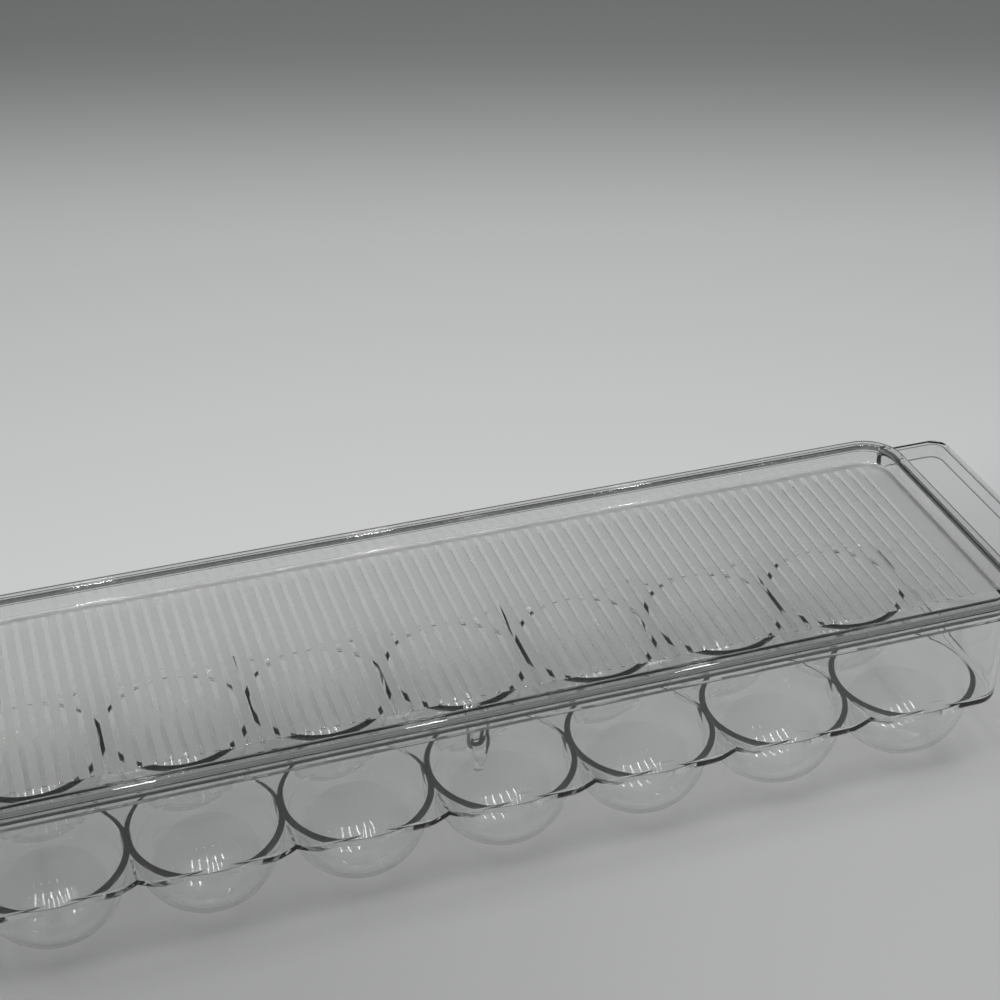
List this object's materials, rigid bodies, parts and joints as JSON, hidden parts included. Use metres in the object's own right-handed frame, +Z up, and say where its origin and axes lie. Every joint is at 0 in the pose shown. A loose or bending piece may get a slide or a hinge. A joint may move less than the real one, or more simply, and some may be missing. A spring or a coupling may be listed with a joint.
{
  "type": "egg storage container",
  "caption": "Clear plastic tray with two rows of round egg cups and an end grip, under a loose ribbed lid that lifts off.",
  "frame": {"origin": "on the standing surface, under the middle of the overall length and width", "axes": "+X along the rows of cups towards the grip, +Y to the back row, +Z up"},
  "size_m": [0.3726, 0.1072, 0.0738],
  "materials": {
    "clear_tray_plastic": "clear moulded plastic, glossy",
    "clear_lid_plastic": "clear moulded plastic, glossy, ribbed"
  },
  "bodies": {
    "tray": {"tray": "clear_tray_plastic"},
    "lid": {"lid": "clear_lid_plastic"}
  },
  "joints": [
    {"name": "lid_lift", "type": "slide", "parent": "tray", "child": "lid", "axis": [0, 0, 1], "range_m": [0, 0.08]}
  ]
}
